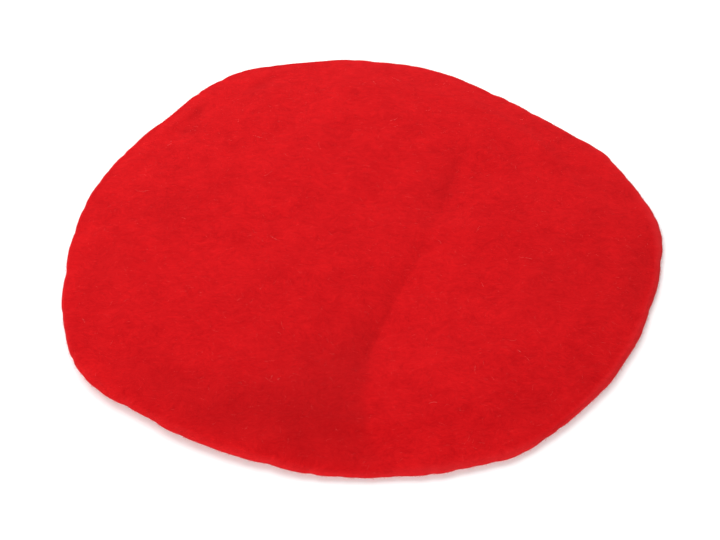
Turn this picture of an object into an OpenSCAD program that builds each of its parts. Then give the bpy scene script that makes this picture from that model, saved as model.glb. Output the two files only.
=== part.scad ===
// Cut-and-sewn felt beret, lying flat on its headband with the crown up.
// Millimetres. +Z is up, z = 0 is the surface it lies on, +Y is the centre back.
// Two felt panels are sewn together right sides in and turned, so both seam
// allowances lie inside the rim. A folded felt headband binds the head opening,
// with an elastic tape in its fold and a grosgrain sweatband on its inner side.

/* [Outline] */
// Mean radius of the rim
rim_r = 140; // [132:1:155]
// Depth of the wave that makes the outline oval
oval_wave = 3.2; // [0:0.2:5]
// Depth of the wave that gives it three blunt corners
three_wave = 3; // [0:0.2:5]
// Depth of the wave that gives it four blunt corners
four_wave = 3; // [0:0.2:5]
// Depth of the small waves where the seam draws the rim in
small_wave = 0.9; // [0:0.1:1.4]

/* [Felt] */
// Thickness of the felt
felt_t = 1.2; // [1:0.1:1.4]
// Width of each panel's edge turned in at the rim seam
seam_allowance = 10; // [6:1:12]
// Height of the rim seam above the surface
seam_h = 5; // [4.6:0.1:6]

/* [Crown] */
// Rise of the crown's middle above its rim
crown_rise = 3.2; // [2.8:0.1:5]
// Depth of the long crease across the crown
crease_depth = 2; // [0:0.1:2.2]
// Direction of the crease, from +X
crease_at = 70; // [50:1:90]

/* [Head opening] */
// Radius of the cut edge of the head opening
opening_r = 88; // [84:0.5:92]
// Width of the headband on each side of that edge
band_w = 10; // [8:0.5:12]
// Thickness of the elastic tape in the headband's fold
elastic_t = 0.7; // [0.5:0.1:0.8]
// Width of the elastic tape
elastic_w = 6; // [4:0.5:7]
// Width of the grosgrain sweatband
ribbon_w = 22; // [18:1:25]
// Thickness of the grosgrain ribbon
ribbon_t = 0.5; // [0.4:0.1:0.6]

/* [Labels] */
// Width of the size label
size_w = 22; // [16:1:26]
// Length of the size label's free flap
size_l = 18; // [12:1:22]
// Width of the care label
care_w = 20; // [14:1:24]
// Length of the care label's free flap
care_l = 26; // [18:1:30]
// Thickness of a label
label_t = 0.4; // [0.3:0.1:0.5]

/* [Thread] */
// Distance from one stitch to the next
stitch_pitch = 5; // [4:0.5:7]
// Length of a stitch that shows
stitch_l = 3.4; // [2.5:0.1:3.6]
// Width of the thread
thread_w = 0.5; // [0.4:0.1:0.6]

/* [Hidden] */

felt_red = [0.78, 0.06, 0.08];
ribbon_black = [0.08, 0.08, 0.09];
elastic_white = [0.9, 0.9, 0.88];
label_white = [0.93, 0.93, 0.9];
thread_red = [0.7, 0.05, 0.07];
thread_black = [0.1, 0.1, 0.1];

air = 0.1;                     // gap between layers that are sewn flat together
thread_t = 0.4;                // a stitch's thickness
$fn = 144;

// Layers at the head opening, from the surface up
panel_z = felt_t + air;
elastic_z = panel_z + felt_t + air;
slot_h = felt_t + elastic_t + 3 * air;
band_h = slot_h + 2 * felt_t;
ribbon_z = band_h + air;
ribbon_top = ribbon_z + ribbon_t;

// Headband: its fold is a half round that closes the gap between its two legs
fold_r = band_h / 2;
fold_at = opening_r - air;
clear_r = fold_at - fold_r;    // the opening that is left for the head
band_out = opening_r + band_w;
groove_r = band_out - 2.5;
groove_t = 0.5;
elastic_in = opening_r + 1.5;
ribbon_in = fold_at + 0.5;
ribbon_row = ribbon_in + 1.5;

// Layers at the rim, from the seam up; the underside panel mirrors them
seam_gap = 0.25;
turned = seam_gap + felt_t;
shell_in = turned + 2 * air;
shell_out = shell_in + felt_t;
edge_r = 1.9;
fold_in = 1.6;
flat_in = 8;

// Outline: [crests in a turn, depth, direction of the first crest]
WAVES = [[2, oval_wave, 174], [3, three_wave, 102], [4, four_wave, 19],
         [5, small_wave, 4], [6, small_wave / 2, 10], [7, small_wave, 10],
         [8, small_wave, 29], [12, small_wave / 2, 30]];
STEPS = 72;
ANGLES = [for (i = [0:STEPS - 1]) 360 * i / STEPS];

function total(list, i = 0) = i == len(list) ? 0 : list[i] + total(list, i + 1);
function wave_r(a) = rim_r + total([for (w = WAVES) w[1] * cos(w[0] * (a - w[2]))]);
function raw_rim(a) = wave_r(a) * [cos(a), sin(a)];
RAW = [for (a = ANGLES) raw_rim(a)];
MIDDLE = [for (i = [0, 1]) (max([for (p = RAW) p[i]]) + min([for (p = RAW) p[i]])) / 2];
function rim(a) = raw_rim(a) - MIDDLE;

// Crease: a valley along a line, steep on its right side and gradual on its left
crease_mid = [24, -25];
crease_half = 115;
left_w = 26;
right_w = 9;
function crease(p) =
    let (q = p - crease_mid,
         along = q * [cos(crease_at), sin(crease_at)],
         across = q * [sin(crease_at), -cos(crease_at)],
         width = across > 0 ? right_w : left_w,
         fade = max(0, 1 - pow(along / crease_half, 2)))
    crease_depth * fade * exp(-pow(across / width, 2));

// Top of the crown at a point that is the share k of the way out to the rim
function crown_z(p, k) = seam_h + shell_out + crown_rise * (1 - pow(k, 4)) - crease(p);

// A ring of points at the share k of the way out, at one height
function level_ring(k, z) = [for (a = ANGLES) concat(k * rim(a), z)];
// A ring at an inset from the rim
function rim_ring(inset, h) = level_ring(1 - inset / rim_r, seam_h + h);
// A ring that follows the top of the crown, lowered by drop
function crown_ring(k, drop) = [for (a = ANGLES) let (p = k * rim(a)) concat(p, crown_z(p, k) - drop)];
// A true circle about the head opening
function round_ring(r, z) = [for (a = ANGLES) [r * cos(a), r * sin(a), z]];

function quads(rows, closed) =
    [for (j = [0:rows - (closed ? 1 : 2)], i = [0:STEPS - 1])
        let (n = (i + 1) % STEPS,
             m = (j + 1) % rows,
             a = j * STEPS + i,
             b = j * STEPS + n,
             c = m * STEPS + n,
             d = m * STEPS + i)
        each [[a, b, c], [a, c, d]]];

// Rounded outer edge of one panel, from its flat side to the seam; way is 1 up, -1 down
EDGE_TURNS = [0, 25, 50, 72, 90];
function edge_rings(way) = concat(
    [for (t = EDGE_TURNS) rim_ring(edge_r * (1 - sin(t)), way * (shell_out - edge_r * (1 - cos(t))))],
    [rim_ring(0.35, way * 0.45),
     rim_ring(1.1, way * seam_gap),
     rim_ring(seam_allowance, way * seam_gap),
     rim_ring(seam_allowance, way * turned),
     rim_ring(fold_in, way * turned),
     rim_ring(fold_in, way * shell_in)]);

CROWN_SHARES = [0.14, 0.28, 0.42, 0.55, 0.67, 0.78, 0.87];
LAST = len(CROWN_SHARES) - 1;

// A disc of felt whose edge turns down and in at the rim
module crown_panel() {
    rings = concat(
        [for (k = CROWN_SHARES) crown_ring(k, 0)],
        [rim_ring(flat_in, shell_out)],
        edge_rings(1),
        [rim_ring(flat_in, shell_in)],
        [for (i = [LAST:-1:0]) crown_ring(CROWN_SHARES[i], felt_t)]);
    rows = len(rings);
    top = rows * STEPS;
    points = concat([for (r = rings) each r],
                    [[0, 0, crown_z([0, 0], 0)], [0, 0, crown_z([0, 0], 0) - felt_t]]);
    caps = [for (i = [0:STEPS - 1])
        let (n = (i + 1) % STEPS, base = (rows - 1) * STEPS)
        each [[top, n, i], [top + 1, base + i, base + n]]];
    color(felt_red) polyhedron(points, concat(quads(rows, false), caps));
}

// A ring of felt from the head opening to the rim, where its edge turns up and in
module underside_panel() {
    flat_r = band_out + 2;
    rings = concat(
        [round_ring(opening_r, panel_z),
         round_ring(flat_r, panel_z),
         rim_ring(flat_in, -shell_out)],
        edge_rings(-1),
        [rim_ring(flat_in, -shell_in),
         round_ring(flat_r, panel_z + felt_t),
         round_ring(opening_r, panel_z + felt_t)]);
    faces = quads(len(rings), true);
    color(felt_red)
        polyhedron([for (r = rings) each r], [for (f = faces) [f[2], f[1], f[0]]]);
}

module stitch() {
    cube([stitch_l, thread_w, thread_t], center = true);
}

// A round row of stitches, centred at height z
module round_row(r, z) {
    count = floor(2 * PI * r / stitch_pitch);
    for (i = [0:count - 1])
        rotate(360 * i / count) translate([0, r, z]) stitch();
}

// The seam that joins the two turned edges, between the seam allowances
module rim_stitching() {
    share = 1 - 2.6 / rim_r;
    count = floor(2 * PI * rim_r * share / stitch_pitch);
    color(thread_red)
        for (i = [0:count - 1]) {
            a = 360 * i / count;
            run = rim(a + 0.5) - rim(a - 0.5);
            translate(concat(share * rim(a), seam_h)) rotate(atan2(run[1], run[0])) stitch();
        }
}

// The narrow gap at the centre back where a strip's two ends meet
module butt_joint() {
    translate([-0.2, 0, -1]) cube([0.4, rim_r, 20]);
}

// A strip of felt folded over the cut edge of the head opening
module headband() {
    color(felt_red) difference() {
        rotate_extrude() difference() {
            union() {
                translate([fold_at, 0]) square([band_out - fold_at, band_h]);
                translate([fold_at, fold_r]) circle(fold_r);
            }
            translate([fold_at, felt_t]) square([band_out, slot_h]);
            translate([fold_at, fold_r]) circle(slot_h / 2);
            translate([groove_r - thread_w, -1]) square([2 * thread_w, 1 + groove_t]);
        }
        butt_joint();
    }
}

module elastic_tape() {
    color(elastic_white)
        rotate_extrude()
            translate([elastic_in, elastic_z]) square([elastic_w, elastic_t]);
}

// Holds both legs of the headband; it lies in a groove, clear of the surface
module headband_stitching() {
    color(thread_red) round_row(groove_r, groove_t - thread_t / 2);
}

module sweatband() {
    color(ribbon_black) difference() {
        rotate_extrude()
            translate([ribbon_in, ribbon_z]) square([ribbon_w, ribbon_t]);
        butt_joint();
    }
}

module sweatband_stitching() {
    color(thread_black) round_row(ribbon_row, ribbon_top + thread_t / 2);
}

// Bow: one ribbon laid in two flat loops, pinched by a knot at its middle
bow_y = ribbon_in + ribbon_w / 2;
bow_z = ribbon_top + air;
bow_w = 8;
bow_reach = 17;
loop_h = 1.8;
knot_w = 5;
pinch_h = 0.8;

module slot_shape(from, to, h) {
    translate([from, -h / 2]) square([to - from, h]);
    translate([to, 0]) circle(h / 2);
}

module bow_loop() {
    start = knot_w / 2 + 1;
    difference() {
        slot_shape(0, bow_reach - loop_h / 2, loop_h);
        slot_shape(start, bow_reach - loop_h / 2, loop_h - 2 * 0.45);
        for (side = [-1, 1])
            translate([-1, side > 0 ? pinch_h / 2 : -loop_h])
                square([start + 0.5, loop_h - pinch_h / 2]);
    }
}

module sweatband_bow() {
    color(ribbon_black)
        translate([0, bow_y + bow_w / 2, bow_z + loop_h / 2])
            rotate([90, 0, 0]) linear_extrude(bow_w) {
                bow_loop();
                mirror([1, 0]) bow_loop();
            }
}

module bow_knot() {
    hole_w = bow_w + 2 * air;
    hole_h = pinch_h + 2 * air;
    wrap_t = 0.4;
    color(ribbon_black)
        translate([0, bow_y, bow_z + loop_h / 2]) difference() {
            cube([knot_w, hole_w + 2 * wrap_t, hole_h + 2 * wrap_t], center = true);
            cube([knot_w + 1, hole_w, hole_h], center = true);
        }
}

// Labels: flaps that turn about their sewn edge, at the foot of the headband's fold
label_z = 0.1;
hinge_r = clear_r - 0.6;
size_at = 90;
care_at = 120;

module label(at, w, l) {
    color(label_white)
        rotate(at) translate([hinge_r - l, -w / 2, label_z]) cube([l, w, label_t]);
}

module size_label() {
    label(size_at, size_w, size_l);
}

module care_label() {
    label(care_at, care_w, care_l);
}

// Whip stitches up the headband's fold above each label
module whip_row(at, w) {
    whip_h = 1.6;
    whips = 5;
    spread = 2 * asin((w / 2 - 2) / clear_r);
    for (i = [0:whips - 1])
        rotate(at + spread * (i / (whips - 1) - 0.5))
            translate([clear_r - 0.3, 0, fold_r])
                cube([0.3, thread_w, whip_h], center = true);
}

module label_stitching() {
    color(thread_black) {
        whip_row(size_at, size_w);
        whip_row(care_at, care_w);
    }
}

crown_panel();
underside_panel();
rim_stitching();
headband();
elastic_tape();
headband_stitching();
sweatband();
sweatband_stitching();
sweatband_bow();
bow_knot();
size_label();
care_label();
label_stitching();
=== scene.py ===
"""Looks of the red felt beret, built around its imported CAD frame.

Shapes are worked out in millimetres in the CAD frame and become metres in solid().
A place on the felt is given by a direction from the middle and a share of the way
out to the rim. +X is right, +Y is the centre back, +Z is up.
"""

import math

import bpy
import numpy as np
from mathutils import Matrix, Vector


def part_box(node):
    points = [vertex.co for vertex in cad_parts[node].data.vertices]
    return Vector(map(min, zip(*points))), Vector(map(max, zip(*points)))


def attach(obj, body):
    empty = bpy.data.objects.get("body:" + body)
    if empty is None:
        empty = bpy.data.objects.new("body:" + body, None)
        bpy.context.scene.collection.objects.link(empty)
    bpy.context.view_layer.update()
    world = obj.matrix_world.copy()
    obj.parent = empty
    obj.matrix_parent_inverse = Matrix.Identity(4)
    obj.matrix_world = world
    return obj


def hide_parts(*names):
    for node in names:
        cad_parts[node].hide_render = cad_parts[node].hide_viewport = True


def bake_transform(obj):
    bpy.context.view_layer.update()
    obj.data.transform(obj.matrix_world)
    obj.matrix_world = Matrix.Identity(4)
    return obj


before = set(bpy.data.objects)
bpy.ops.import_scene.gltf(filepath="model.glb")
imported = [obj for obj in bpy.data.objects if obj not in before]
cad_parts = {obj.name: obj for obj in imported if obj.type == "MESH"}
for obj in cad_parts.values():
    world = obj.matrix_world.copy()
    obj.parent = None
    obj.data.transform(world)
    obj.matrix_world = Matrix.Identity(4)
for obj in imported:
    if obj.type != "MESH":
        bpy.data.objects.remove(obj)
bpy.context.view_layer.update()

MM = 0.001
SEED = 27


def cad_box(node):
    """Lowest and highest corner of a CAD node, in mm."""
    low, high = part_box(node)
    return np.array(low) / MM, np.array(high) / MM


# ---------------- sizes, in mm
FELT = 1.2  # thickness of the felt
ALLOWANCE = 10.0  # width of each panel's edge turned in at the rim seam
RIM_R = 140.0  # mean radius of the rim
OPENING_R = 88.0  # cut edge of the head opening
ROUND_IN = 2.3  # how far in from the rim its rounded edge reaches
PLATEAU = 8.9  # height of the crown's middle above the table
SHELL = 2.85  # height of each panel's outer face from the seam, at the rim
SEAM_GAP = 0.05  # half the hairline between the two panels at the seam
RIM_CLEAR = 0.45  # least height of the rim's lower face above the table
RIBBON_W = 22.0  # width of the sweatband's ribbon
ELASTIC_W = 6.0  # width of the elastic
STITCH_PITCH = 5.0  # from one stitch to the next
RIM_SEAM_IN = 2.6  # how far the rim's row of stitches is in from the rim
BAND_SEAM_IN = 2.5  # how far the headband's row of stitches is in from its edge
RIBBON_SEAM_IN = 1.5  # how far the ribbon's row of stitches is in from its inner edge

PANEL_Z = cad_box("underside_panel")[0][2]
BAND_LOW, BAND_HIGH = cad_box("headband")
RIBBON_LOW, RIBBON_HIGH = cad_box("sweatband")
ELASTIC_LOW, ELASTIC_HIGH = cad_box("elastic_tape")
RIBBON_INNER_R = RIBBON_HIGH[0] - RIBBON_W
BAND_FOLD_R = (BAND_HIGH[2] - BAND_LOW[2]) / 2  # outer radius of the headband's fold
BAND_FOLD_AT = OPENING_R - 0.1  # where the fold begins
BAND_INNER_R = BAND_FOLD_AT - BAND_FOLD_R  # clear radius of the opening

# Outline: (crests in a turn, depth, direction of the first crest), as in the CAD model
WAVES = ((2, 3.2, 174), (3, 3, 102), (4, 3, 19), (5, 0.9, 4),
         (6, 0.45, 10), (7, 0.9, 10), (8, 0.9, 29), (12, 0.45, 30))
# Finer waves of the rim, which the CAD outline leaves out
FINE_WAVES = ((1, 0.35, 97), (2, 0.35, 24), (3, 0.26, 108), (5, 0.22, 2), (9, 0.3, 4),
              (10, 0.2, 4), (15, 0.25, 0), (16, 0.2, 7), (17, 0.2, 5), (21, 0.18, 9),
              (28, 0.17, 2))
FINE_REACH = 30.0  # how far in from the rim these finer waves fade
# Small rises and falls of the rim as it lies on the table
RIM_Z_WAVES = ((3, 0.12, 95), (5, 0.12, 20), (9, 0.14, 7), (14, 0.1, 3))
RAISED_AT = math.radians(208)  # where the rim stands off the table, at the front left
RAISED_HALF = 0.85  # half width of that stretch, in radians
RAISED_BY = 1.4
BACK_LIFT_AT = math.radians(120)
BACK_LIFT = 0.5  # a gentler lift at the back left


# ---------------- outline and relief
def wave_sum(angle, waves):
    return sum(depth * np.cos(count * (angle - math.radians(crest)))
               for count, depth, crest in waves)


def heading(angle):
    return np.stack([np.cos(angle), np.sin(angle)], -1)


def raw_rim(angle):
    return (RIM_R + wave_sum(angle, WAVES))[..., None] * heading(angle)


CAD_RIM = raw_rim(np.radians(np.arange(0, 360, 5)))
MIDDLE = (CAD_RIM.max(0) + CAD_RIM.min(0)) / 2


def smooth(t):
    """0 below 0, 1 above 1, and an even S-curve between."""
    t = np.clip(t, 0, 1)
    return t * t * (3 - 2 * t)


def soft_floor(height, floor, softness):
    """The height, held up to the floor with a rounded transition."""
    return floor + softness * np.logaddexp(0, (height - floor) / softness)


def turn_from(direction, angle):
    """The shortest turn from a direction to an angle, in radians."""
    return (angle - direction + math.pi) % (2 * math.pi) - math.pi


PUCKER_COUNT = 84
PUCKER_SHIFT = 0.36  # how far a pucker strays from even spacing, as a share of it
PUCKER_HALF_WIDTH = (1.6, 3.6)
PUCKER_SKEW = 1.6  # above 1, shallow puckers outnumber deep ones
PUCKER_IN = 0.55  # how far in the deepest pucker draws the rim
PUCKER_REACH = 4.0


def make_puckers():
    """Directions, half widths and depths of the places where the seam's thread draws the rim in."""
    rng = np.random.default_rng(SEED)
    stray = rng.uniform(-PUCKER_SHIFT, PUCKER_SHIFT, PUCKER_COUNT)
    places = (np.arange(PUCKER_COUNT) + stray) * 2 * math.pi / PUCKER_COUNT
    half_widths = rng.uniform(*PUCKER_HALF_WIDTH, PUCKER_COUNT) / RIM_R
    return places, half_widths, rng.uniform(0.1, 1, PUCKER_COUNT) ** PUCKER_SKEW


PUCKERS = make_puckers()


def pucker(angle):
    """How far the thread draws the rim in at this direction, from 0 to about 1."""
    total = np.zeros_like(angle)
    for place, half_width, depth in zip(*PUCKERS):
        total += depth * np.exp(-(turn_from(place, angle) / half_width) ** 2)
    return total


def on_hat(angle, share):
    """The point of the felt, seen from above, at a share of the way out to the rim."""
    inset = (1 - share) * RIM_R
    fine = wave_sum(angle, FINE_WAVES) * np.exp(-inset / FINE_REACH)
    fine = fine - PUCKER_IN * pucker(angle) * np.exp(-inset / PUCKER_REACH)
    return share[..., None] * (raw_rim(angle) - MIDDLE) + fine[..., None] * heading(angle)


def find_on_hat(points):
    """The direction and share of points seen from above: on_hat the other way round."""
    share = np.linalg.norm(points, axis=-1) / RIM_R
    for _ in range(6):
        from_raw = points + share[..., None] * MIDDLE
        angle = np.arctan2(from_raw[..., 1], from_raw[..., 0])
        share = np.linalg.norm(from_raw, axis=-1) / (RIM_R + wave_sum(angle, WAVES))
    return angle, share


# Long crease seen from above, from the back to the front: (y, x)
CREASE_PATH = ((85, 64), (60, 52), (35, 42), (15, 36), (-8, 29), (-38, 15),
               (-60, 5), (-80, -1), (-105, -2), (-130, 4))
CREASE_LINE = np.polyfit(*np.transpose(CREASE_PATH), 5)
CREASE_TURN = np.polyder(CREASE_LINE)
# Depth of the crease at places along Y, and the part of it that is a narrow fold
CREASE_Y = (-140, -128, -105, -85, -60, -35, -10, 5, 20, 45, 70, 85)
CREASE_DEPTH = (0.4, 1.3, 1.8, 3.2, 4.6, 4.1, 3.0, 1.8, 2.6, 2.9, 1.1, 0)
CREASE_NARROW = (0.2, 0.2, 0.25, 0.5, 0.6, 0.6, 0.6, 0.5, 0.45, 0.4, 0.2, 0.2)
# Distances over which its sides rise: the narrow fold, the broad left side, the right side
FOLD_SIDE = 8.0
LEFT_SIDE = 26.0
RIGHT_SIDE = 48.0


def beside_crease(points):
    """Distance to the right of the crease's line."""
    y = np.clip(points[..., 1], CREASE_Y[0], CREASE_Y[-1])
    return (points[..., 0] - np.polyval(CREASE_LINE, y)) / np.hypot(1, np.polyval(CREASE_TURN, y))


def crease(points):
    """Depth of the long crease: a broad slope down on its left, a gentle rise on its right."""
    beside = beside_crease(points)
    depth = np.interp(points[..., 1], CREASE_Y, CREASE_DEPTH)
    narrow = np.interp(points[..., 1], CREASE_Y, CREASE_NARROW)
    left_side = narrow * np.exp(beside / FOLD_SIDE) + (1 - narrow) * np.exp(beside / LEFT_SIDE)
    right_side = np.exp(-beside / RIGHT_SIDE)
    return depth * np.where(beside < 0, np.minimum(left_side, 1), np.minimum(right_side, 1))


# Soft dents (-) and ridges (+): middle, half length, half width, direction, height
DENTS = ((-96, 18, 16, 9, 80, -0.5), (-122, -8, 12, 8, 60, -0.5), (92, -42, 14, 9, 40, -0.5),
         (-1, 77, 20, 2.2, 60, -0.15), (-61, -92, 12, 2.4, 100, 0.3), (-54, -97, 16, 6, 80, -0.4),
         (-88, 92, 9, 4, 60, -0.5), (-57, 114, 9, 4, 40, -0.45), (-84, 96, 40, 4, 40, 0.3),
         (-38, -118, 9, 3, 20, 0.3), (-30, -125, 8, 3, 100, 0.25), (74, 26, 14, 9, 70, 0.5),
         (40, 2, 12, 8, 20, 0.3), (128, -28, 18, 8, 70, -0.4), (75, -104, 22, 8, 30, -0.45),
         (-108, -58, 18, 10, 120, 0.35), (-60, 40, 40, 26, 20, 0.25), (104, -76, 10, 5, 40, -0.3),
         (-48, -88, 28, 16, 110, 0.9), (-32, 48, 34, 30, 0, 0.35))


def bumps(points, places):
    """Sum of soft round-edged bumps, each (x, y, half length, half width, direction, height)."""
    total = np.zeros(points.shape[:-1])
    for x, y, length, width, direction, height in places:
        along = heading(math.radians(direction))
        away = points - np.array([x, y])
        u = away @ along / length
        v = (away[..., 1] * along[0] - away[..., 0] * along[1]) / width
        total += height * np.exp(-(u * u + v * v))
    return total


# The felt's faint all-over unevenness: (how many waves, shortest, longest, depth of each)
RIPPLE_SETS = ((9, 34, 80, 0.09), (16, 13, 26, 0.02), (18, 6, 10, 0.005))


def make_ripples():
    """Directions, wavelengths, phases and depths of all the ripples."""
    rng = np.random.default_rng(SEED + 1)
    lengths = np.concatenate([rng.uniform(low, high, count) for count, low, high, _ in RIPPLE_SETS])
    depths = np.concatenate([np.full(count, depth) for count, _, _, depth in RIPPLE_SETS])
    turns = rng.uniform(0, math.pi, lengths.size)
    phases = rng.uniform(0, 6.28, lengths.size)
    return turns, lengths, phases, depths


RIPPLES = make_ripples()


def ripples(points):
    return sum(depth * np.sin(points @ heading(turn) * 2 * math.pi / length + phase)
               for turn, length, phase, depth in zip(*RIPPLES))


def raised(angle):
    """1 where the rim stands off the table, falling to 0 elsewhere."""
    return np.exp(-(turn_from(RAISED_AT, angle) / RAISED_HALF) ** 2)


def rim_press(angle):
    """How much of the rim's sewn thickness is left where it is pressed flat."""
    return 0.57 + 0.26 * raised(angle) + 0.04 * np.cos(2 * angle)


def rim_z(angle):
    """Height of the seam above the table."""
    high = RAISED_BY * raised(angle) + BACK_LIFT * np.maximum(np.cos(angle - BACK_LIFT_AT), 0) ** 2
    return RIM_CLEAR + SHELL * rim_press(angle) + high + wave_sum(angle, RIM_Z_WAVES)


CROWN_LOWEST = 2.6  # least height of the crown's outer face
RIBBON_CLEAR = 0.6  # between the ribbon and the crown's inner face above it
EDGE_FLAT = 12.0  # creases and dents fade out over this width inside the rim
ALLOWANCE_LINE = 15.0  # a faint trough runs round this far inside the rim
TROUGH_AT = math.radians(132)  # where the trough is deepest
# Radii between which the ribbon holds the crown up: not at all, fully, fully, not at all
HELD_RING = (60, 88, 110, 124)


def support(points):
    """Height to which the headband and ribbon under the crown hold its outer face up."""
    r = np.linalg.norm(points, axis=-1)
    inner, full, last, outer = HELD_RING
    ring = smooth((r - inner) / (full - inner)) * (1 - smooth((r - last) / (outer - last)))
    return CROWN_LOWEST + ring * (RIBBON_HIGH[2] + RIBBON_CLEAR + FELT - CROWN_LOWEST)


def crown_top(angle, share):
    """Height of the crown's outer face, out to where the rim's rounded edge begins."""
    points = on_hat(angle, share)
    inset = (1 - share) * RIM_R
    fade = smooth(inset / EDGE_FLAT)
    rim_top = rim_z(angle) + SHELL * rim_press(angle)
    height = rim_top + (PLATEAU - rim_top) * (1 - share ** 6)
    height = height - (crease(points) - bumps(points, DENTS)) * fade
    trough = 0.12 + 0.3 * np.exp(-((angle - TROUGH_AT) / 0.42) ** 2)
    height = height - trough * np.exp(-((inset - ALLOWANCE_LINE) / 5) ** 2)
    height = height - 0.3 * pucker(angle) * np.exp(-((inset - 2) / 5) ** 2)
    height = soft_floor(height, support(points), 0.6)
    return height + ripples(points) * (0.35 + 0.65 * fade)


# ---------------- meshes
def disc_grid(n):
    """A square grid of n by n cells drawn onto a disc: shares, directions, cells and the edge."""
    steps = np.linspace(-1, 1, n + 1)
    u, v = np.meshgrid(steps, steps)
    wide = np.abs(u) > np.abs(v)
    reach = np.where(wide, u, v)
    safe = np.where(reach == 0, 1, reach)
    angle = np.where(wide, v / safe * math.pi / 4, math.pi / 2 - u / safe * math.pi / 4)
    angle = np.where(reach < 0, angle + math.pi, angle)
    ids = np.arange((n + 1) ** 2).reshape(n + 1, n + 1)
    cells = np.stack([ids[:-1, :-1], ids[:-1, 1:], ids[1:, 1:], ids[1:, :-1]], -1).reshape(-1, 4)
    edge = np.concatenate([ids[:-1, -1], ids[-1, :0:-1], ids[:0:-1, 0], ids[0, :-1]])
    return np.abs(reach).ravel(), angle.ravel(), cells, edge


def strips(rows, closed_across=True):
    """Quads that join rows of points; each row closes on itself unless told otherwise."""
    rows = np.asarray(rows)
    after = np.roll(rows, -1, axis=1)
    quads = np.stack([rows[:-1], rows[1:], after[1:], after[:-1]], -1)
    if not closed_across:
        quads = quads[:, :-1]
    return quads.reshape(-1, 4)


def tape_faces(rows, across):
    """Quads of a tape whose two layers each have rows by across points."""
    ids = np.arange(rows * across).reshape(rows, across)
    cells = strips(ids, closed_across=False)
    edge = np.concatenate([ids[0], ids[1:, -1], ids[-1, -2::-1], ids[-2:0:-1, 0]])
    layer = rows * across
    return np.concatenate([cells, cells[:, ::-1] + layer, strips([edge, edge + layer])[:, ::-1]])


def solid(name, points, faces, material, body="hat"):
    """A mesh object from points in mm, smooth shaded, that rides on a CAD body."""
    mesh = bpy.data.meshes.new(name)
    mesh.from_pydata((np.asarray(points) * MM).tolist(), [], [list(map(int, f)) for f in faces])
    mesh.shade_smooth()
    mesh.validate()
    obj = bpy.data.objects.new(name, mesh)
    bpy.context.scene.collection.objects.link(obj)
    obj.data.materials.append(material)
    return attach(obj, body) if body else obj


def stand_for(obj, slot, *nodes):
    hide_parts(*nodes)
    return obj


def with_height(flat, height):
    return np.concatenate([flat, np.asarray(height)[..., None]], -1)


GRID = 200  # cells across the crown
EDGE_ROWS = 9  # rows of points round the rim's rounded edge
# The turned edge inside the rim: (inset, height above the seam), from the seam inwards
TURNED_EDGE = ((0.5, SEAM_GAP), (5.2, SEAM_GAP), (ALLOWANCE, SEAM_GAP), (ALLOWANCE, FELT),
               (5.2, FELT), (1.5, FELT + 0.02))


def rim_rows(angle, face, way):
    """Rows of points round the rim's rounded edge and the seam allowance turned in behind it.

    They start below the panel's outer face; way is 1 for the crown and -1 for the underside.
    """
    press = rim_press(angle)
    seam = rim_z(angle)
    high = np.abs(face - seam)
    rows = []
    for i in range(1, EDGE_ROWS + 1):
        turn = i / EDGE_ROWS * math.pi / 2
        rows.append((ROUND_IN * (1 - math.sin(turn)), SEAM_GAP + (high - SEAM_GAP) * math.cos(turn)))
    rows += [(inset, rise * press) for inset, rise in TURNED_EDGE]
    made = []
    for inset, rise in rows:
        share = np.full_like(angle, 1 - inset / RIM_R)
        made.append(with_height(on_hat(angle, share), seam + way * rise))
    return made


def felt_left(angle, share):
    """Thickness of the felt: it is pressed thinner at the rim, out from 27 mm inside it."""
    press = rim_press(angle)
    return FELT * (press + (1 - press) * smooth(((1 - share) * RIM_R - EDGE_FLAT) / 15))


# Painted shade: patches where the felt's colour is darkened to stand in for shade on slopes and
# hollows, as in DENTS, with a share for the height
PAINTED_SHADE_PATCHES = ((-14, -97, 33, 25, 105, 1.1), (-50, -106, 36, 19, 160, 0.95), (43, 40, 26, 9, 65, 0.4),
           (-2, -64, 22, 7, 70, 0.5), (132, -22, 26, 9, 75, 0.7), (90, -96, 34, 10, 40, 0.4),
           (-88, 93, 9, 3.5, 62, 1.0), (-93, 76, 6, 4, 10, 0.8), (-56, 114, 11, 4, 45, 0.9),
           (-88, -92, 34, 14, 145, 0.4), (-98, 18, 13, 11, 90, 0.5),
           (-124, -20, 14, 12, 80, 0.6), (84, -30, 22, 14, 60, 0.5))
RIM_HIGHLIGHT_AT = math.radians(330)  # where the painted highlight along the rim is strongest
CREASE_HALF = 62.0  # within this of the middle, the painted shade patches end at the crease


def paint_shade_and_rim_highlight(obj, points):
    """Paints light into the felt's colour: painted shade in patches, and a painted highlight, lighter,
    along the rim.
    """
    flat = np.asarray(points)[:, :2]
    left = 1 - smooth(beside_crease(flat) / 5)
    share = np.clip(bumps(flat, PAINTED_SHADE_PATCHES), 0, 1.3)
    share = share * np.where(np.abs(flat[:, 0]) < CREASE_HALF, left, 1)
    angle, out = find_on_hat(flat)
    inset = (1 - out) * RIM_R
    # painted highlight along the rim, strongest at the front right and at the puckers
    rim_highlight = 0.37 + 0.63 * np.cos(angle - RIM_HIGHLIGHT_AT) + 0.25 * pucker(angle)
    share = share * smooth(inset / 9) - rim_highlight * np.exp(-(np.maximum(inset, 0) / 2.8) ** 2)
    # the attribute holds painted shade where above 0 and a painted highlight where below 0
    mark = obj.data.attributes.new("painted_shade_and_highlight", "FLOAT", "POINT")
    mark.data.foreach_set("value", share.astype(np.float32))


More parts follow.
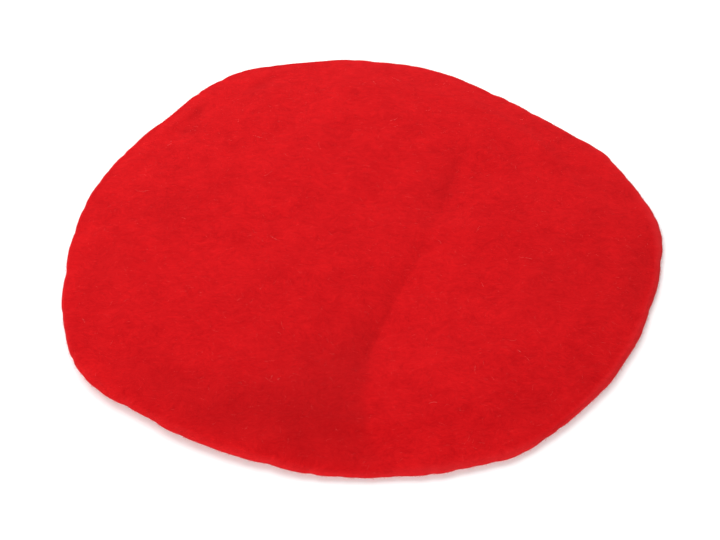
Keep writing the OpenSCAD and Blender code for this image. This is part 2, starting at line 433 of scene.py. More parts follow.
def crown_felt(material):
    """The crown: a disc whose edge turns down and in at the rim."""
    share, angle, cells, edge = disc_grid(GRID)
    share = share * (1 - ROUND_IN / RIM_R)
    top = crown_top(angle, share)
    flat = on_hat(angle, share)
    rows = rim_rows(angle[edge], top[edge], 1)
    count = len(share)
    inside = with_height(flat, top - felt_left(angle, share))
    points = np.concatenate([with_height(flat, top), *rows, inside])
    ids = [edge] + [count + i * len(edge) + np.arange(len(edge)) for i in range(len(rows))]
    inner = count + len(rows) * len(edge)
    ids.append(inner + edge)
    faces = np.concatenate([cells, strips(ids), inner + cells[:, ::-1]])
    obj = solid("crown_felt", points, faces, material)
    paint_shade_and_rim_highlight(obj, points)
    return stand_for(obj, "felt", "crown_panel")


def underside_height(angle, out):
    """Height of the underside's lower face; out is 0 beside the headband and 1 at the rim."""
    rim = rim_z(angle) - SHELL * rim_press(angle)
    sag = 0.7 * np.sin(math.pi * out) * (0.6 + 0.4 * np.cos(3 * angle))
    height = PANEL_Z + (rim - PANEL_Z) * smooth(out) - sag
    return soft_floor(height, 0.2, 0.3)


def underside_felt(material):
    """The underside: a ring from the head opening to the rim, where its edge turns up and in."""
    columns = 4 * GRID
    angle = np.arange(columns) * 2 * math.pi / columns
    flat_r = BAND_HIGH[1] + 2
    flat_rows = 7
    slope = list(np.linspace(0, 1, 27)[1:])
    rim = on_hat(angle, np.full(columns, 1 - ROUND_IN / RIM_R))
    level = np.full(columns, PANEL_Z)
    rows = [with_height(r * heading(angle), level) for r in np.linspace(OPENING_R, flat_r, flat_rows)]
    for out in slope:
        flat = (1 - out) * flat_r * heading(angle) + out * rim
        rows.append(with_height(flat, underside_height(angle, out)))
    upper = []
    for row, out in zip(reversed(rows), reversed([0] * flat_rows + slope)):
        inset = (1 - out) * (RIM_R - flat_r)
        thick = felt_left(angle, np.full(columns, 1 - inset / RIM_R))
        upper.append(row + np.stack([0 * thick, 0 * thick, thick], -1))
    every = rows + rim_rows(angle, rows[-1][:, 2], -1) + upper
    ids = np.arange(len(every) * columns).reshape(len(every), columns)
    faces = strips(np.concatenate([ids, ids[:1]]))[:, ::-1]
    obj = solid("underside_felt", np.concatenate(every), faces, material)
    return stand_for(obj, "felt", "underside_panel")


# ---------------- rings round the head opening
BUTT_GAP = math.radians(0.13)  # half the gap at the centre back where a strip's ends meet


def arc(middle, radius, start, end, steps):
    turns = np.radians(np.linspace(start, end, steps))
    return np.array(middle) + radius * heading(turns)


def swept_ring(profile, columns, butt=True, shape=None):
    """A closed profile of (radius, height) swept round the opening from the centre back."""
    start = math.pi / 2 + (BUTT_GAP if butt else 0)
    end = math.pi / 2 + 2 * math.pi - (BUTT_GAP if butt else 2 * math.pi / columns)
    angle = np.linspace(start, end, columns)[:, None]
    radius = profile[None, :, 0] + 0 * angle
    height = profile[None, :, 1] + 0 * angle
    if shape:
        radius, height = shape(angle, radius, height)
    points = np.stack([radius * np.cos(angle), radius * np.sin(angle), height], -1)
    ids = np.arange(columns * len(profile)).reshape(columns, len(profile))
    rows = ids if butt else np.concatenate([ids, ids[:1]])
    faces = [tuple(f) for f in strips(rows)]
    if butt:
        faces += [tuple(ids[0][::-1]), tuple(ids[-1])]
    return points.reshape(-1, 3), faces


def rounded_strip(inner, outer, low, high, across):
    """Profile of a flat tape with rounded edges, anticlockwise."""
    half = (high - low) / 2
    middle = (high + low) / 2
    bottom = [(r, low) for r in np.linspace(inner + half, outer - half, across)]
    top = [(r, high) for r in np.linspace(outer - half, inner + half, across)]
    right = arc((outer - half, middle), half, -90, 90, 6)[1:-1]
    left = arc((inner + half, middle), half, 90, 270, 6)[1:-1]
    return np.array([*bottom, *right, *top, *left])


def stitch_count(radius):
    return int(2 * math.pi * radius / STITCH_PITCH)


def headband_felt(material):
    """A strip of felt folded over the edge of the opening; its stitches sink into the lower leg."""
    low, high = BAND_LOW[2], BAND_HIGH[2]
    outer = BAND_HIGH[0]
    middle = (low + high) / 2
    fold_r, fold_at = BAND_FOLD_R, BAND_FOLD_AT
    round_in, round_up = 0.3, 0.35
    groove = outer - BAND_SEAM_IN
    near_groove = np.array([1.6, 0.9, 0.5, 0.25, 0, -0.25, -0.5, -0.9, -1.6]) + groove
    bottom_r = (outer - round_in, *near_groove, *np.linspace(groove - 3, fold_at, 5))
    profile = np.array([
        *[(r, low) for r in bottom_r],
        *arc((fold_at, middle), fold_r, 270, 90, 23)[1:-1],
        *[(r, high) for r in np.linspace(fold_at, outer - round_in, 9)],
        (outer, high - round_up), (outer, high - FELT + round_up), (outer - round_in, high - FELT),
        *[(r, high - FELT) for r in np.linspace(groove, fold_at, 5)],
        *arc((fold_at, middle), fold_r - FELT, 90, 270, 13)[1:-1],
        *[(r, low + FELT) for r in np.linspace(fold_at, groove, 5)],
        (outer - round_in, low + FELT), (outer, low + FELT - round_up), (outer, low + round_up)])
    turn = 2 * math.pi / stitch_count(groove)

    def dimples(angle, radius, height):
        phase = ((angle - math.pi / 2) / turn + 0.5) % 1 - 0.5
        along = smooth((0.42 - np.abs(phase)) / 0.1)
        sink = 0.5 * np.exp(-((radius - groove) / 0.75) ** 2) * (0.35 + 0.65 * along)
        inner_wave = 0.1 * np.sin(11 * angle + 1) + 0.05 * np.sin(29 * angle)
        near_fold = smooth((fold_at + 1 - radius) / 3)
        return radius + inner_wave * near_fold, height + np.where(height < low + 0.01, sink, 0)

    points, faces = swept_ring(profile[::-1], 960, shape=dimples)
    obj = solid("headband_felt", points, faces, material)
    return stand_for(obj, "felt", "headband")


def elastic_braid(material):
    outer = ELASTIC_HIGH[0]
    profile = rounded_strip(outer - ELASTIC_W, outer, ELASTIC_LOW[2], ELASTIC_HIGH[2], 7)
    points, faces = swept_ring(profile[::-1], 360, butt=False)
    return stand_for(solid("elastic_braid", points, faces, material), "elastic", "elastic_tape")


def sweatband_ribbon(material):
    outer = RIBBON_HIGH[0]
    inner = RIBBON_INNER_R
    profile = rounded_strip(inner, outer, RIBBON_LOW[2], RIBBON_HIGH[2], 23)

    def ease(angle, radius, height):
        out = (radius - inner) / (outer - inner)
        return radius, height + 0.12 * out * (1 + np.sin(17 * angle + 2)) * smooth(2 * out)

    points, faces = swept_ring(profile[::-1], 720, shape=ease)
    obj = solid("sweatband_ribbon", points, faces, material)
    return stand_for(obj, "grosgrain", "sweatband")


# ---------------- thread
def stitch_mesh(length, width, height, dive=0.0):
    """One stitch lying along X: a twisted pair of plies whose ends turn down by dive."""
    rings = 13
    sides = 10
    s = np.linspace(-1, 1, rings)[:, None]
    turn = np.linspace(0, 2 * math.pi, sides, endpoint=False)[None]
    plies = 1 + 0.14 * np.cos(2 * (turn - 5 * s))
    full = np.sqrt(np.clip(1 - np.abs(s) ** 6, 0.02, 1))
    y = 0.5 * width * full * plies * np.cos(turn)
    z = 0.5 * height * full * plies * np.sin(turn) - dive * np.abs(s) ** 3
    x = 0.5 * length * s + 0 * turn
    ids = np.arange(rings * sides).reshape(rings, sides)
    faces = [tuple(f) for f in strips(ids)[:, ::-1]] + [tuple(ids[0]), tuple(ids[-1][::-1])]
    return np.stack([x, y, z], -1).reshape(-1, 3), faces


def many(points, faces, places):
    """Copies of one small mesh, each turned by a matrix and moved to its place."""
    every, all_faces = [], []
    for matrix, place in places:
        all_faces += [tuple(i + len(every) * len(points) for i in f) for f in faces]
        every.append(points @ np.asarray(matrix).T + place)
    return np.concatenate(every), all_faces


def turned(angle):
    """The matrix of a turn about Z."""
    c = math.cos(angle)
    s = math.sin(angle)
    return ((c, -s, 0), (s, c, 0), (0, 0, 1))


def round_stitches(radius, height):
    """Places for a row of stitches round the opening, the first at the centre back."""
    count = stitch_count(radius)
    places = []
    for i in range(count):
        a = math.pi / 2 + 2 * math.pi * i / count
        places.append((turned(a + math.pi / 2), np.array([*(radius * heading(a)), height])))
    return places


def rim_stitches():
    """Places for the row of stitches along the rim, between the two seam allowances."""
    count = stitch_count(RIM_R - RIM_SEAM_IN)
    share = np.array([1 - RIM_SEAM_IN / RIM_R])
    places = []
    for i in range(count):
        a = np.array([2 * math.pi * i / count])
        run = (on_hat(a + 0.01, share) - on_hat(a - 0.01, share))[0]
        spot = [*on_hat(a, share)[0], rim_z(a)[0]]
        places.append((turned(math.atan2(run[1], run[0])), np.array(spot)))
    return places


def thread_row(name, slot, node_name, material, shape, places):
    stand_for(solid(name, *many(*shape, places), material), slot, node_name)


def threads(red, black):
    """The rows of stitches in the rim, the headband and the sweatband."""
    low_z = sum(cad_box("headband_stitching")[i][2] for i in (0, 1)) / 2
    top_z = sum(cad_box("sweatband_stitching")[i][2] for i in (0, 1)) / 2
    thread_row("rim_thread", "red_thread", "rim_stitching", red,
               stitch_mesh(3.4, 0.5, 0.09), rim_stitches())
    thread_row("headband_thread", "red_thread", "headband_stitching", red,
               stitch_mesh(3.6, 0.5, 0.4, -0.12), round_stitches(BAND_HIGH[0] - BAND_SEAM_IN, low_z))
    thread_row("sweatband_thread", "black_thread", "sweatband_stitching", black,
               stitch_mesh(3.6, 0.5, 0.4, 0.15), round_stitches(RIBBON_INNER_R + RIBBON_SEAM_IN, top_z))


# ---------------- bow
BOW_LOW, BOW_HIGH = cad_box("sweatband_bow")
KNOT_LOW, KNOT_HIGH = cad_box("bow_knot")
BOW_RIBBON = 0.4  # thickness of the bow's ribbon
BOW_EASE = 0.3  # how far the loops stay inside the CAD bow at each end
PINCH = 0.22  # half height of the loops where the knot holds them
# Round the knot's section: (x, how far inside the CAD knot), outside and then inside
KNOT_PROFILE = ((-2.3, 0.15), (-2.5, 0.3), (-2.3, 0.42), (0, 0.4), (2.3, 0.42),
                (2.5, 0.3), (2.3, 0.15), (1.2, 0.03), (0, 0), (-1.2, 0.03))


def ribbon_along(path, half_width, thickness, across=11):
    """A ribbon of some thickness along a path of (x, z) points; it lies flat along Y."""
    path = np.asarray(path)
    tangent = np.gradient(path, axis=0)
    tangent /= np.linalg.norm(tangent, axis=1)[:, None]
    normal = np.stack([-tangent[:, 1], tangent[:, 0]], -1) * thickness / 2
    side = np.linspace(-1, 1, across)
    crown = 0.2 * (1 - side ** 2)
    layers = []
    for way in (1, -1):
        at = path + way * normal
        x = at[:, 0, None] + 0 * side
        z = at[:, 1, None] + 0 * side + crown * np.abs(normal[:, 1, None]) / thickness
        y = half_width[:, None] * side
        layers.append(np.stack([x, y, z], -1))
    points = np.concatenate([layer.reshape(-1, 3) for layer in layers])
    return points, tape_faces(len(path), across)


def bow_loops(material):
    """Two flat loops of ribbon, pinched at the middle."""
    reach = BOW_HIGH[0] - BOW_EASE
    loop_h = (BOW_HIGH[2] - BOW_LOW[2]) / 2 - BOW_EASE
    turns = np.radians(np.linspace(-178, 178, 61))
    along = (1 + np.cos(turns)) / 2
    lift = np.sin(turns) * (PINCH + (loop_h - PINCH) * smooth(along * 1.7))
    half_width = 2.6 + 1.35 * smooth(along * 2.2)
    points, quads = ribbon_along(np.stack([reach * along, lift], -1), half_width, BOW_RIBBON)
    mirrored, other_quads = ribbon_along(np.stack([-reach * along, lift], -1), half_width, BOW_RIBBON)
    faces = [tuple(quad) for quad in quads]
    faces += [tuple(quad[::-1]) for quad in other_quads + len(points)]
    middle = np.array([0, (BOW_LOW[1] + BOW_HIGH[1]) / 2, (BOW_LOW[2] + BOW_HIGH[2]) / 2])
    points = np.concatenate([points, mirrored]) + middle
    stand_for(solid("bow_loops", points, faces, material), "grosgrain", "sweatband_bow")


def bow_wrap(material):
    """The short ribbon wrapped round the bow's middle."""
    columns = 48
    turn = np.linspace(0, 2 * math.pi, columns, endpoint=False)
    squarish = np.stack([np.sign(np.cos(turn)) * np.abs(np.cos(turn)) ** 0.35,
                         np.sign(np.sin(turn)) * np.abs(np.sin(turn)) ** 0.6], -1)
    outer = (KNOT_HIGH - KNOT_LOW)[1:] / 2
    rows = [np.concatenate([np.full((columns, 1), x), squarish * (outer - inset)], 1)
            for x, inset in KNOT_PROFILE]
    points = np.concatenate(rows) + (KNOT_LOW + KNOT_HIGH) / 2
    ids = np.arange(len(rows) * columns).reshape(len(rows), columns)
    faces = strips(np.concatenate([ids, ids[:1]]))
    stand_for(solid("bow_wrap", points, faces, material), "grosgrain", "bow_knot")


# ---------------- labels
# Labels: (name, CAD node, body, direction in degrees, width, length)
LABELS = (("size_label_tape", "size_label", "size_flap", 90, 22, 18),
          ("care_label_tape", "care_label", "care_flap", 120, 20, 26))
HINGE_R = cad_box("size_label")[1][1]
TAPE = 0.3  # thickness of a label, and its height above the table
ROOT = 2.6  # how far a label's root stands up against the headband's fold


def label_path(length):
    """A label's middle line, as (radius, height): down the fold, round a bend and along the table."""
    bend_r = 0.5
    stand_r = HINGE_R + 0.2
    down = np.linspace(ROOT, 0.35, 9) + TAPE
    stand = np.stack([np.full(9, stand_r), down], -1)
    bend = arc((stand_r - bend_r, TAPE + bend_r), bend_r, 0, -90, 7)
    lie_r = np.linspace(HINGE_R - 0.6, HINGE_R - length, 30)
    lie = np.stack([lie_r, np.full(30, TAPE)], -1)
    return np.concatenate([stand[:-1], bend, lie[1:]])


def label_tape(name, node_name, material, azimuth, width, length):
    """A woven flap sewn to the foot of the headband's fold by a short root, with a hem at its end."""
    across = np.linspace(-width / 2, width / 2, 25)
    path = label_path(length)
    t = np.clip((HINGE_R - path[:, 0]) / length, 0, 1)
    tangent = np.gradient(path, axis=0)
    tangent /= np.linalg.norm(tangent, axis=1)[:, None]
    normal = np.stack([tangent[:, 1], -tangent[:, 0]], -1)
    hem = 1 + 0.8 * smooth((t - 0.88) / 0.02)
    curl = 0.12 * (across / width * 2) ** 2 + 0.06 * np.sin(3 * t[:, None] + across / 5)
    curl = np.abs(curl * t[:, None])
    follows_fold = smooth((path[:, 1] - 0.5) / 1.2)[:, None]
    layers = []
    for offset in (-TAPE / 2 * np.ones_like(t), TAPE / 2 * hem):
        at = path + normal * offset[:, None]
        x = at[:, 0, None] - follows_fold * across ** 2 / (2 * HINGE_R)
        y = across + 0 * t[:, None]
        layers.append(np.stack([x, y, at[:, 1, None] + curl], -1))
    points = np.concatenate([layer.reshape(-1, 3) for layer in layers])
    points = points @ np.asarray(turned(math.radians(azimuth))).T
    faces = tape_faces(len(path), len(across))[:, ::-1]
    obj = solid(name, points, faces, material, body=None)
    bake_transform(obj)
    return stand_for(obj, "label", node_name)


def whip_stitches(material):
    """Five short upright stitches over the root of each label, into the headband's fold."""
    points, faces = stitch_mesh(2.4, 0.5, 0.34, 0.25)
    points = points @ np.array(((0, 0, 1), (0, 1, 0), (-1, 0, 0))).T
    places = []
    for _, _, _, azimuth, width, _ in LABELS:
        spread = 2 * math.asin((width / 2 - 2) / BAND_INNER_R)
        for i in range(5):
            a = math.radians(azimuth) + spread * (i / 4 - 0.5)
            spot = np.array([*((BAND_INNER_R - 0.55) * heading(a)), 2.3])
            places.append((turned(a + math.pi), spot))
    obj = solid("label_thread", *many(points, faces, places), material)
    return stand_for(obj, "black_thread", "label_stitching")


# ---------------- loose fibres
def fibre_tubes(paths, radius):
    """Closed tubes of three sides along paths of shape (fibres, points, 3), and each face's fibre."""
    count, steps, _ = paths.shape
    tangent = np.gradient(paths, axis=1)
    tangent /= np.linalg.norm(tangent, axis=2)[..., None]
    side = np.cross(tangent, np.array([0.13, 0.21, 0.97]))
    side /= np.maximum(np.linalg.norm(side, axis=2)[..., None], 1e-6)
    over = np.cross(tangent, side)
    taper = np.linspace(1, 0.35, steps)[None, :, None] * radius[:, None, None]
    corners = (0, 2.094, 4.189)
    rings = [paths + taper * (side * math.cos(t) + over * math.sin(t)) for t in corners]
    points = np.stack(rings, 2).reshape(-1, 3)
    ids = np.arange(count * steps * 3).reshape(count, steps, 3)
    after = np.roll(ids, -1, axis=2)
    quads = np.stack([ids[:, :-1], ids[:, 1:], after[:, 1:], after[:, :-1]], -1).reshape(-1, 4)
    caps = [tuple(f) for f in ids[:, 0, ::-1]] + [tuple(f) for f in ids[:, -1]]
    each = np.arange(count)
    owner = np.concatenate([np.repeat(each, (steps - 1) * 3), each, each])
    return points, [tuple(f[::-1]) for f in quads] + [f[::-1] for f in caps], owner


def fibre_piece(name, paths, radius, materials, shades):
    """Fibres in one mesh; shades picks a material for each fibre."""
    points, faces, owner = fibre_tubes(paths, radius)
    obj = solid(name, points, faces, materials[0])
    for material in materials[1:]:
        obj.data.materials.append(material)
    obj.data.polygons.foreach_set("material_index", shades[owner].astype(np.int32))
    return obj


FIBRE_STEPS = 4  # points along a fibre


def lying_fibres(rng, count, length, rise, radius, spread):
    """Fibres that lie on the crown within a spread of X, and leave it by up to rise."""
    share = np.sqrt(rng.uniform(0, 1, count)) * 0.965
    angle = rng.uniform(0, 2 * math.pi, count)
    root = on_hat(angle, share)
    s = np.linspace(0, 1, FIBRE_STEPS)
    first = rng.normal(0, spread, count) + math.pi * rng.integers(0, 2, count)
    bend = rng.normal(0, 0.9, count)
    turn = first[:, None] + bend[:, None] * s
    long = rng.uniform(*length, count)
    step = heading(turn) * (long / (FIBRE_STEPS - 1))[:, None, None]
    walked = np.concatenate([np.zeros((count, 1, 2)), np.cumsum(step[:, :-1], 1)], 1)
    flat = root[:, None] + walked
    at_angle, at_share = find_on_hat(flat)
    height = crown_top(at_angle, np.minimum(at_share, 1 - ROUND_IN / RIM_R))
    off = rng.uniform(0.2, 1, count)[:, None] * rise * np.sin(s * math.pi * 0.72) - 0.03
    return with_height(flat, height + off), rng.uniform(0.7, 1.2, count) * radius


def rim_fibres(rng, count, length, radius):
    """Fibres that stand out of the rim's rounded side."""
    angle = rng.uniform(0, 2 * math.pi, count)
    turn = np.arcsin(rng.uniform(-0.75, 1, count))
    share = 1 - ROUND_IN * (1 - np.cos(turn)) / RIM_R
    root = with_height(on_hat(angle, share), rim_z(angle) + SHELL * rim_press(angle) * np.sin(turn))
    out = np.concatenate([heading(angle) * np.cos(turn)[:, None], np.sin(turn)[:, None]], 1)
    round_way = np.concatenate([heading(angle + math.pi / 2), np.zeros((count, 1))], 1)
    lean = rng.normal(0, 1.5, count)
    first = out + lean[:, None] * round_way + rng.normal(0, 0.3, (count, 3))
    first /= np.linalg.norm(first, axis=1)[:, None]
    curl = rng.normal(0, 0.55, (count, 3))
    s = np.linspace(0, 1, FIBRE_STEPS)[None, :, None]
    long = rng.uniform(*length, count)[:, None, None] * rng.uniform(0.4, 1, count)[:, None, None]
    along = s * first[:, None] + 0.5 * s * s * curl[:, None]
    paths = root[:, None] - 0.05 * out[:, None] + long * along
    paths[..., 2] = np.maximum(paths[..., 2], 0.2)
    return paths, rng.uniform(0.7, 1.2, count) * radius


def felt_nap(shades):
    """Short fibres on the crown and round the rim, and a few long pale ones; shades go from dark up."""
    rng = np.random.default_rng(SEED + 2)
    paths, radius = lying_fibres(rng, 9000, (0.8, 3.4), rise=0.25, radius=0.021, spread=1.0)
    picked = rng.choice(4, len(paths), p=(0.35, 0.37, 0.22, 0.06))
    fibre_piece("crown_nap", paths, radius, shades[:4], picked)
    paths, radius = rim_fibres(rng, 9000, (0.7, 2.4), 0.026)
    fibre_piece("rim_nap", paths, radius, shades[:3], rng.integers(0, 3, len(paths)))
    paths, radius = lying_fibres(rng, 40, (2, 7), rise=0.6, radius=0.028, spread=1.2)
    fibre_piece("stray_fibres", paths, radius, shades[3:], rng.integers(0, 2, len(paths)))


# ---------------- materials
def new_material(name, **principled):
    """A material, its node tree and its Principled node, with plain values set on its sockets."""
    material = bpy.data.materials.new(name)
    material.use_nodes = True
    shader = material.node_tree.nodes["Principled BSDF"]
    for socket, value in principled.items():
        shader.inputs[socket.replace("_", " ")].default_value = value
    return material, material.node_tree, shader


def node(tree, kind, inputs=(), **settings):
    """A node with its settings; inputs are values, or sockets to link from."""
    made = tree.nodes.new("ShaderNode" + kind)
    for key, value in settings.items():
        setattr(made, key, value)
    for key, value in dict(inputs).items():
        if isinstance(value, bpy.types.NodeSocket):
            tree.links.new(value, made.inputs[key])
        else:
            made.inputs[key].default_value = value
    return made


def maths(tree, operation, a, b=0.0, clamp=False):
    return node(tree, "Math", {0: a, 1: b}, operation=operation, use_clamp=clamp).outputs[0]


def object_place(tree):
    return node(tree, "TexCoord").outputs["Object"]


def vector_maths(tree, operation, a, b):
    return node(tree, "VectorMath", {0: a, 1: b}, operation=operation).outputs[0]


def stretched(tree, place, scale, warp, amount):
    """The place scaled by three numbers, after a wander of up to amount along warp."""
    moved = vector_maths(tree, "MULTIPLY", warp, (amount,) * 3)
    return vector_maths(tree, "MULTIPLY", vector_maths(tree, "ADD", place, moved), scale)


def noise(tree, place, scale=1.0, detail=2.0, rough=0.5):
    """Noise about 0.5, as one value and as a vector."""
    inputs = {"Vector": place, "Scale": scale, "Detail": detail, "Roughness": rough}
    made = node(tree, "TexNoise", inputs)
    return made.outputs["Fac"], made.outputs["Color"]


def blend_colour(tree, share, low, high):
    return node(tree, "Mix", {0: share, 6: low, 7: high}, data_type="RGBA").outputs[2]


def wire(tree, shader, colour, relief, strength, distance):
    """Gives the shader its colour and a bump that is distance metres deep."""
    inputs = {"Height": relief, "Strength": strength, "Distance": distance}
    tree.links.new(colour, shader.inputs["Base Color"])
    tree.links.new(node(tree, "Bump", inputs).outputs["Normal"], shader.inputs["Normal"])


def weighted(tree, pairs):
    """Sum of (value - 0.5) * weight over the pairs, plus 0.5."""
    total = 0.5
    for value, weight in pairs:
        off_middle = maths(tree, "SUBTRACT", value, 0.5)
        total = maths(tree, "ADD", maths(tree, "MULTIPLY", off_middle, weight), total)
    return total


def felt_material():
    """Fine pressed wool felt: fibres that lie mostly along X, soft mottling, matt with short fuzz."""
    material, tree, shader = new_material(
        "wool_felt", Roughness=0.95, Specular_IOR_Level=0.04, Sheen_Weight=0.12,
        Sheen_Roughness=0.6, Sheen_Tint=(1.0, 0.12, 0.14, 1))
    place = object_place(tree)
    warp = noise(tree, place, 60, 2)[1]
    blotch = noise(tree, place, 70, 3, 0.55)[0]
    clump = noise(tree, stretched(tree, place, (200, 330, 330), warp, 0.014), 1, 3, 0.6)[0]
    streak = noise(tree, stretched(tree, place, (520, 1200, 900), warp, 0.016), 1, 3, 0.6)[0]
    hair = noise(tree, stretched(tree, place, (1300, 3200, 2600), warp, 0.03), 1, 2, 0.6)[0]
    tone = weighted(tree, ((blotch, 0.85), (clump, 1.0), (streak, 1.1), (hair, 1.08)))
    colour = blend_colour(tree, maths(tree, "ADD", tone, 0.0, clamp=True),
                          (0.42, 0.0014, 0.0034, 1), (0.6, 0.0054, 0.0074, 1))
    # painted shade: the attribute darkens the colour in patches, unevenly with the clumps
    painted_shade_and_highlight = node(tree, "Attribute", attribute_name="painted_shade_and_highlight").outputs["Fac"]
    uneven = maths(tree, "ADD", maths(tree, "MULTIPLY", clump, 1.2), 0.4)
    uneven_painted_light = maths(tree, "MULTIPLY", painted_shade_and_highlight, uneven)
    shade = maths(tree, "SUBTRACT", 1.0, maths(tree, "MULTIPLY", uneven_painted_light, 0.14))
    with_painted_shade = vector_maths(tree, "MULTIPLY", colour, shade)
    # painted highlight: where the attribute is below 0, the colour blends towards a lighter red
    painted_highlight_share = maths(tree, "MULTIPLY", uneven_painted_light, -0.75, clamp=True)
    with_painted_light = blend_colour(tree, painted_highlight_share, with_painted_shade, (0.54, 0.0165, 0.0195, 1))
    relief = weighted(tree, ((clump, 0.9), (streak, 0.7), (hair, 0.5)))
    wire(tree, shader, with_painted_light, relief, 0.52, 0.0004)
    return material


def fibre_material(name, colour):
    return new_material(name, Base_Color=(*colour, 1), Roughness=0.8, Specular_IOR_Level=0.2)[0]


def thread_material(name, dark, light):
    material, tree, shader = new_material(name, Roughness=0.7, Specular_IOR_Level=0.3)
    place = object_place(tree)
    ply = noise(tree, place, 2600, 2, 0.5)[0]
    wire(tree, shader, blend_colour(tree, ply, dark, light), ply, 0.6, 0.0001)
    return material


def wave_of(tree, value, turns):
    """0 to 1 and back, turns times for each unit of the value."""
    sine = maths(tree, "SINE", maths(tree, "MULTIPLY", value, turns * 2 * math.pi))
    return maths(tree, "ADD", maths(tree, "MULTIPLY", sine, 0.5), 0.5)


def round_opening(tree, xyz):
    """The share of a turn round the opening, and the distance from its middle in metres."""
    turn = maths(tree, "DIVIDE", maths(tree, "ARCTAN2", xyz[1], xyz[0]), 2 * math.pi)
    squares = [maths(tree, "MULTIPLY", xyz[axis], xyz[axis]) for axis in (0, 1)]
    return turn, maths(tree, "SQRT", maths(tree, "ADD", *squares))


def grosgrain_material(name, round_the_opening):
    """Ribbed ribbon: ribs across its width, with the warp's fine lines between them."""
    material, tree, shader = new_material(
        name, Roughness=0.6, Specular_IOR_Level=0.25, Sheen_Weight=0.08,
        Sheen_Roughness=0.4, Sheen_Tint=(0.8, 0.8, 0.9, 1))
    place = object_place(tree)
    xyz = node(tree, "SeparateXYZ", {0: place}).outputs
    if round_the_opening:
        turn, distance = round_opening(tree, xyz)
        rib = wave_of(tree, turn, 700)
        line = wave_of(tree, distance, 1800)
    else:
        rib = wave_of(tree, xyz[0], 1200)
        line = wave_of(tree, xyz[1], 1800)
    wear = noise(tree, place, 300, 3)[0]
    tone = weighted(tree, ((rib, 0.7), (line, 0.15), (wear, 0.5)))
    colour = blend_colour(tree, tone, (0.005, 0.005, 0.006, 1), (0.024, 0.023, 0.026, 1))
    wire(tree, shader, colour, weighted(tree, ((rib, 1.0), (line, 0.2))), 0.8, 0.0002)
    return material


def elastic_material():
    material, tree, shader = new_material("braided_elastic", Roughness=0.75, Specular_IOR_Level=0.25)
    turn, _ = round_opening(tree, node(tree, "SeparateXYZ", {0: object_place(tree)}).outputs)
    braid = wave_of(tree, turn, 480)
    colour = blend_colour(tree, braid, (0.62, 0.61, 0.57, 1), (0.84, 0.83, 0.8, 1))
    wire(tree, shader, colour, braid, 0.7, 0.0003)
    return material


def label_material():
    """Blank woven satin tape: fine warp lines and a faint weft, with no lettering."""
    material, tree, shader = new_material(
        "woven_label", Roughness=0.42, Specular_IOR_Level=0.4, Sheen_Weight=0.15, Sheen_Roughness=0.3)
    place = object_place(tree)
    xyz = node(tree, "SeparateXYZ", {0: place}).outputs
    warp = wave_of(tree, xyz[0], 4000)
    weft = wave_of(tree, xyz[1], 2500)
    slub = noise(tree, place, 250, 3)[0]
    tone = weighted(tree, ((warp, 0.35), (weft, 0.35), (slub, 0.6)))
    colour = blend_colour(tree, tone, (0.7, 0.69, 0.64, 1), (0.86, 0.85, 0.81, 1))
    wire(tree, shader, colour, weighted(tree, ((warp, 0.7), (weft, 0.7))), 0.5, 0.00008)
    return material


# ---------------- the object
felt = felt_material()
red_thread = thread_material("red_sewing_thread", (0.3, 0.002, 0.004, 1), (0.55, 0.01, 0.014, 1))
black_thread = thread_material("black_sewing_thread", (0.008, 0.008, 0.01, 1), (0.05, 0.05, 0.055, 1))
ribbon = grosgrain_material("grosgrain_round", round_the_opening=True)
bow_ribbon = grosgrain_material("grosgrain_straight", round_the_opening=False)
label_satin = label_material()
fibre_shades = [fibre_material("fibre_deep", (0.42, 0.002, 0.005)),
                fibre_material("fibre_red", (0.62, 0.006, 0.01)),
                fibre_material("fibre_bright", (0.75, 0.05, 0.055)),
                fibre_material("fibre_pink", (0.78, 0.13, 0.125)),
                fibre_material("fibre_pale", (0.8, 0.27, 0.26))]

crown_felt(felt)
underside_felt(felt)
headband_felt(felt)
elastic_braid(elastic_material())
sweatband_ribbon(ribbon)
threads(red_thread, black_thread)
bow_loops(bow_ribbon)
bow_wrap(bow_ribbon)
for name, node_name, body, azimuth, width, length in LABELS:
    label_tape(name, node_name, label_satin, azimuth, width, length)
whip_stitches(black_thread)
felt_nap(fibre_shades)


# ---------------- floor, light and camera
def ramp(tree, value, start, end):
    """The value carried from the range start to the range end, smoothly, and clamped there."""
    inputs = {"Value": value, "From Min": start[0], "From Max": start[1],
              "To Min": end[0], "To Max": end[1]}
    return node(tree, "MapRange", inputs, interpolation_type="SMOOTHSTEP").outputs["Result"]


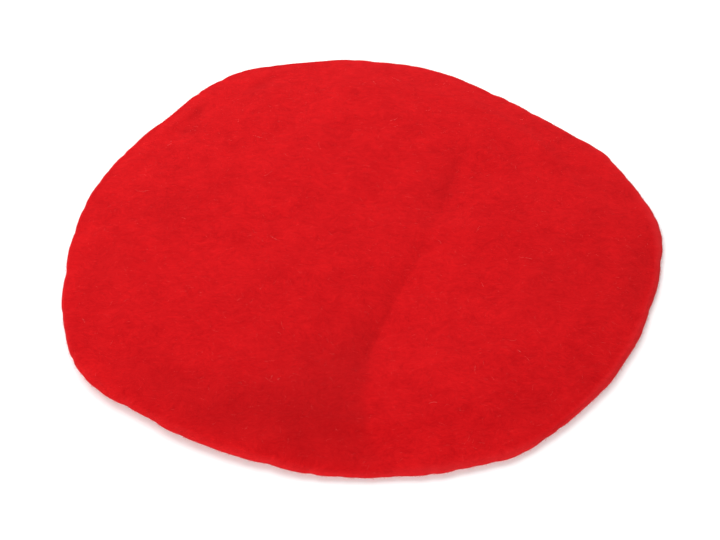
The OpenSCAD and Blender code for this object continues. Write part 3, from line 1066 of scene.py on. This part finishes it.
def make_floor():
    """A white table that glows, faintly beside the hat and more far out, like a light table; it can't
    be seen from below, so that the underside can.
    """
    material, tree, shader = new_material(
        "white_table", Base_Color=(0.9, 0.9, 0.9, 1), Roughness=0.9, Specular_IOR_Level=0.1,
        Emission_Color=(1, 1, 1, 1))
    away = node(tree, "VectorMath", {0: object_place(tree)}, operation="LENGTH").outputs["Value"]
    tree.links.new(ramp(tree, away, (0.4, 1.4), (0.2, 1.0)), shader.inputs["Emission Strength"])
    from_below = node(tree, "NewGeometry").outputs["Backfacing"]
    clear = node(tree, "BsdfTransparent").outputs[0]
    mix = node(tree, "MixShader", {0: from_below, 1: shader.outputs[0], 2: clear})
    tree.links.new(mix.outputs[0], tree.nodes["Material Output"].inputs["Surface"])
    half = 9000.0
    corners = [(x, y, -0.15) for x, y in ((-half, -half), (half, -half), (half, half), (-half, half))]
    solid("floor", corners, [(0, 1, 2, 3)], material, body=None)


def add_softbox(name, azimuth, elevation, away, size, watts):
    """A square softbox that faces the hat, at a direction in degrees and a distance in metres."""
    lamp = bpy.data.lights.new(name, "AREA")
    lamp.energy = watts
    lamp.size = size
    softbox = bpy.data.objects.new(name, lamp)
    bpy.context.scene.collection.objects.link(softbox)
    azimuth = math.radians(azimuth)
    elevation = math.radians(elevation)
    facing = np.array([*(heading(azimuth) * math.cos(elevation)), math.sin(elevation)])
    softbox.location = facing * away
    softbox.rotation_euler = (math.pi / 2 - elevation, 0, azimuth + math.pi / 2)


def make_light():
    """A large soft light from behind and the left, a low one from the front, a white studio wall."""
    world = bpy.data.worlds.new("studio")
    bpy.context.scene.world = world
    world.use_nodes = True
    tree = world.node_tree
    up = node(tree, "SeparateXYZ", {0: node(tree, "TexCoord").outputs["Generated"]}).outputs[2]
    strength = ramp(tree, up, (0.16, 0.5), (1.0, 0.2))
    surround = tree.nodes["Background"]
    surround.inputs["Color"].default_value = (1, 1, 1, 1)
    tree.links.new(strength, surround.inputs["Strength"])
    add_softbox("key", 117, 44, 1.3, 1.7, 30.4)
    add_softbox("fill", 262, 18, 1.8, 1.6, 28)


def make_camera():
    lens = bpy.data.cameras.new("camera")
    lens.lens = 70
    lens.sensor_width = 36
    camera = bpy.data.objects.new("camera", lens)
    bpy.context.scene.collection.objects.link(camera)
    elevation = math.radians(48)
    distance = 0.6714
    aim = np.array([-0.0026, -0.0188, 0.0034])
    camera.location = aim + distance * np.array([0, -math.cos(elevation), math.sin(elevation)])
    camera.rotation_euler = (math.pi / 2 - elevation, 0, 0)
    bpy.context.scene.camera = camera


make_floor()
make_light()
make_camera()
bpy.context.scene.view_settings.view_transform = "Standard"
